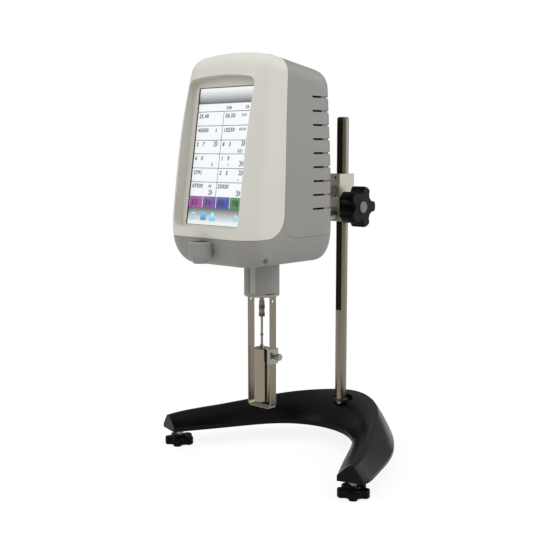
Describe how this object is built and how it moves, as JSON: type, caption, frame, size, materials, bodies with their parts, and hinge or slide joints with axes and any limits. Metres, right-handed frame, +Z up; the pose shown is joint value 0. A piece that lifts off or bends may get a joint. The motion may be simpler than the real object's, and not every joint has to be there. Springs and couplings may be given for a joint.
{
  "type": "rotational rheometer",
  "caption": "Touch-screen rotational rheometer whose head slides on a rack column over a horseshoe base, with a cylinder spindle inside a guard leg.",
  "frame": {"origin": "under the middle of the whole instrument, on the bench top", "axes": "+Z up along the column, -Y the side that the screen faces, +X the side of the lifting knob"},
  "size_m": [0.3286, 0.3244, 0.488],
  "materials": {
    "ivory_cover": "satin",
    "grey_casing": "satin",
    "black_plastic": "satin",
    "grey_plastic": "satin",
    "black_enamel": "gloss",
    "stainless": "satin",
    "bright_steel": "polished",
    "dark_steel": "satin",
    "satin_block": "satin",
    "aluminium": "satin",
    "brass": "satin",
    "screen_glass": "gloss",
    "vial_glass": "gloss",
    "display": "gloss",
    "board_green": "satin",
    "nylon": "satin"
  },
  "bodies": {
    "stand": {"base_casting": "black_enamel", "column": "stainless", "column_ring": "bright_steel", "column_nut": "dark_steel", "rack_strip": "stainless", "foot_nuts": "bright_steel"},
    "left_stud": {"foot_left_stud": "bright_steel"},
    "left_star": {"foot_left_knob": "black_plastic"},
    "right_stud": {"foot_right_stud": "bright_steel"},
    "right_star": {"foot_right_knob": "black_plastic"},
    "rear_stud": {"foot_rear_stud": "bright_steel"},
    "rear_star": {"foot_rear_knob": "black_plastic"},
    "head": {"lifting_block": "satin_block", "tension_pad": "nylon", "pinion_bush": "bright_steel", "front_cover": "ivory_cover", "rear_casing": "grey_casing", "lower_casing": "grey_casing", "touch_glass": "screen_glass", "display_frame": "black_plastic", "lcd_display": "display", "main_board": "board_green", "board_posts": "brass", "neck_collar": "grey_casing", "level_cup": "grey_casing", "level_vial": "vial_glass", "guard_leg": "stainless", "jewel_bearing": "brass", "base_plate": "aluminium", "pillars": "aluminium", "motor_plate": "aluminium", "drive_motor": "dark_steel", "light_gates": "black_plastic", "chassis_plate": "aluminium", "arm_socket": "aluminium", "switch_housing": "black_plastic", "power_inlet": "black_plastic", "probe_socket": "black_plastic", "casing_screws": "dark_steel"},
    "knob": {"pinion_shaft": "bright_steel", "lift_knob": "black_plastic", "knob_cap": "grey_plastic"},
    "tension": {"tension_screw": "dark_steel"},
    "drive": {"motor_shaft": "bright_steel", "drive_hub": "brass", "upper_disc": "aluminium", "hairspring": "brass", "spring_stud": "bright_steel"},
    "spindle": {"pivot_shaft": "bright_steel", "lower_disc": "aluminium", "coupling_nut": "stainless", "spindle_rotor": "bright_steel"},
    "rocker": {"switch_rocker": "black_plastic"},
    "clip": {"probe_clip": "stainless"},
    "clip_screw": {"clip_screw": "bright_steel"}
  },
  "joints": [
    {"name": "lift", "type": "slide", "parent": "stand", "child": "head", "axis": [0, 0, 1], "range_m": [-0.068, 0.068]},
    {"name": "knob_turn", "type": "hinge", "parent": "head", "child": "knob", "pos_m": [0, 0.09122, 0.31], "axis": [1, 0, 0], "range_deg": [-650, 650]},
    {"name": "drive_spin", "type": "hinge", "parent": "head", "child": "drive", "pos_m": [0, -0.04975, 0.3], "axis": [0, 0, 1], "continuous": true},
    {"name": "spindle_deflection", "type": "hinge", "parent": "drive", "child": "spindle", "pos_m": [0, -0.04975, 0.28], "axis": [0, 0, 1], "range_deg": [-85, 85], "stiffness_Nm_per_rad": 0.0005},
    {"name": "tension_turn", "type": "hinge", "parent": "head", "child": "tension", "pos_m": [0, 0.08205, 0.3285], "axis": [0, 1, 0], "range_deg": [-180, 180]},
    {"name": "clip_slide", "type": "slide", "parent": "head", "child": "clip", "axis": [0, 0, 1], "range_m": [-0.045, 0.05]},
    {"name": "clip_screw_turn", "type": "hinge", "parent": "clip", "child": "clip_screw", "pos_m": [0.024, -0.04975, 0.139], "axis": [1, 0, 0], "range_deg": [-180, 180]},
    {"name": "switch_press", "type": "hinge", "parent": "head", "child": "rocker", "pos_m": [0.028, 0.01685, 0.2715], "axis": [1, 0, 0], "range_deg": [0, 16]},
    {"name": "left_height", "type": "slide", "parent": "stand", "child": "left_stud", "axis": [0, 0, 1], "range_m": [-0.003, 0.003]},
    {"name": "left_star_turn", "type": "hinge", "parent": "left_stud", "child": "left_star", "pos_m": [-0.1433, -0.05455, 0.005], "axis": [0, 0, 1], "range_deg": [-864, 864]},
    {"name": "right_height", "type": "slide", "parent": "stand", "child": "right_stud", "axis": [0, 0, 1], "range_m": [-0.003, 0.003]},
    {"name": "right_star_turn", "type": "hinge", "parent": "right_stud", "child": "right_star", "pos_m": [0.1433, -0.05455, 0.005], "axis": [0, 0, 1], "range_deg": [-864, 864]},
    {"name": "rear_height", "type": "slide", "parent": "stand", "child": "rear_stud", "axis": [0, 0, 1], "range_m": [-0.003, 0.003]},
    {"name": "rear_star_turn", "type": "hinge", "parent": "rear_stud", "child": "rear_star", "pos_m": [0, 0.14025, 0.005], "axis": [0, 0, 1], "range_deg": [-864, 864]}
  ],
  "couplings": [
    {"joint": "knob_turn", "follows": "lift", "rad_per_m": -166.67},
    {"joint": "left_star_turn", "follows": "left_height", "rad_per_m": -5026.5},
    {"joint": "right_star_turn", "follows": "right_height", "rad_per_m": -5026.5},
    {"joint": "rear_star_turn", "follows": "rear_height", "rad_per_m": -5026.5}
  ]
}
